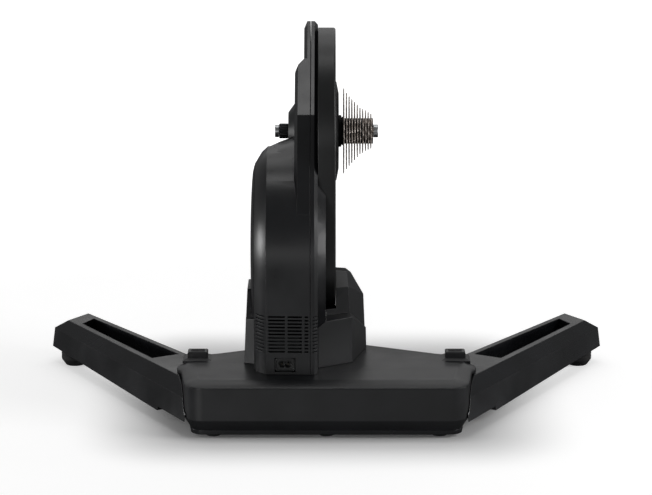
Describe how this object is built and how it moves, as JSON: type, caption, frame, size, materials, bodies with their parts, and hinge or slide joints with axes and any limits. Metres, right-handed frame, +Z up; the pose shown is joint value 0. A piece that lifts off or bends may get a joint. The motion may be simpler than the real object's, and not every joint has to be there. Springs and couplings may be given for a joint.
{
  "type": "direct drive bike trainer",
  "caption": "Folding direct drive bike trainer: black base bar with legs that fold inward, drum body, upright arm and belt cover, hollow axle and cassette.",
  "frame": {"origin": "on the floor, at the middle of the whole trainer's width and depth", "axes": "+X across to the cassette side, +Y to the front of the bicycle, +Z up"},
  "size_m": [0.8068, 0.4424, 0.5175],
  "materials": {
    "moulded": "fine moulded grain, satin black",
    "rubber": "matt black",
    "cast_black": "black powder coat on cast metal",
    "aluminium": "machined",
    "steel": "turned",
    "sprocket_steel": "dark plated",
    "black_steel": "black",
    "copper": "enamelled copper winding",
    "board": "circuit board with black solder mask"
  },
  "bodies": {
    "base": {"base_plate": "black_steel", "base_tub": "moulded", "base_top_cover": "moulded", "chassis_beam": "black_steel", "rear_foot_left": "rubber", "rear_foot_right": "rubber", "rear_foot_centre": "rubber", "left_hinge_pin": "steel", "right_hinge_pin": "steel", "left_latch_spring": "steel", "right_latch_spring": "steel", "spine_casting": "cast_black", "left_housing": "moulded", "drum_cap": "moulded", "right_housing": "moulded", "pedestal_shell": "moulded", "belt_pan": "moulded", "belt_cover": "moulded", "guard_disc": "moulded", "left_hub_cover": "moulded", "power_inlet": "moulded", "inlet_pin_left": "steel", "inlet_pin_right": "steel", "control_board": "board", "axle_tube": "steel", "left_axle_collar": "black_steel", "left_axle_tip": "aluminium", "right_axle_tip": "aluminium", "flywheel_bearing_left": "steel", "flywheel_bearing_right": "steel", "hub_bearing_inner": "steel", "hub_bearing_outer": "steel", "idler_arm": "steel", "drive_belt": "rubber", "brake_yoke": "black_steel", "brake_coil": "copper"},
    "left_leg": {"left_leg": "cast_black", "left_leg_foot": "rubber"},
    "right_leg": {"right_leg": "cast_black", "right_leg_foot": "rubber"},
    "left_latch": {"left_latch_tab": "moulded"},
    "right_latch": {"right_latch_tab": "moulded"},
    "flywheel": {"flywheel": "steel", "flywheel_shaft": "steel", "small_pulley": "steel"},
    "pulley": {"drive_pulley": "aluminium"},
    "idler": {"idler_roller": "black_steel"},
    "cassette": {"freehub_body": "black_steel", "cassette_lockring": "sprocket_steel", "sprocket_28": "sprocket_steel", "sprocket_25": "sprocket_steel", "sprocket_23": "sprocket_steel", "sprocket_21": "sprocket_steel", "sprocket_19": "sprocket_steel", "sprocket_17": "sprocket_steel", "sprocket_15": "sprocket_steel", "sprocket_14": "sprocket_steel", "sprocket_13": "sprocket_steel", "sprocket_12": "sprocket_steel", "sprocket_11": "sprocket_steel"}
  },
  "joints": [
    {"name": "left_leg_fold", "type": "hinge", "parent": "base", "child": "left_leg", "pos_m": [-0.168, -0.12123, 0.04], "axis": [0, 0, -1], "range_deg": [0, 31]},
    {"name": "right_leg_fold", "type": "hinge", "parent": "base", "child": "right_leg", "pos_m": [0.168, -0.12123, 0.04], "axis": [0, 0, 1], "range_deg": [0, 31]},
    {"name": "left_latch_press", "type": "slide", "parent": "base", "child": "left_latch", "axis": [0, 0, -1], "range_m": [0, 0.004], "stiffness_N_per_m": 400, "springref_m": -0.001, "deforming": ["left_latch_spring"]},
    {"name": "right_latch_press", "type": "slide", "parent": "base", "child": "right_latch", "axis": [0, 0, -1], "range_m": [0, 0.004], "stiffness_N_per_m": 400, "springref_m": -0.001, "deforming": ["right_latch_spring"]},
    {"name": "flywheel_spin", "type": "hinge", "parent": "base", "child": "flywheel", "pos_m": [-0.073, -0.04023, 0.2191], "axis": [1, 0, 0], "continuous": true},
    {"name": "pulley_spin", "type": "hinge", "parent": "base", "child": "pulley", "pos_m": [0, 0.01377, 0.3715], "axis": [1, 0, 0], "continuous": true},
    {"name": "idler_spin", "type": "hinge", "parent": "base", "child": "idler", "pos_m": [0, -0.08641, 0.23244], "axis": [1, 0, 0], "continuous": true},
    {"name": "cassette_spin", "type": "hinge", "parent": "pulley", "child": "cassette", "pos_m": [0.04, 0.01377, 0.3715], "axis": [1, 0, 0], "continuous": true}
  ],
  "couplings": [
    {"joint": "pulley_spin", "follows": "flywheel_spin", "ratio": 0.1719},
    {"joint": "idler_spin", "follows": "flywheel_spin", "ratio": -1.6923}
  ]
}
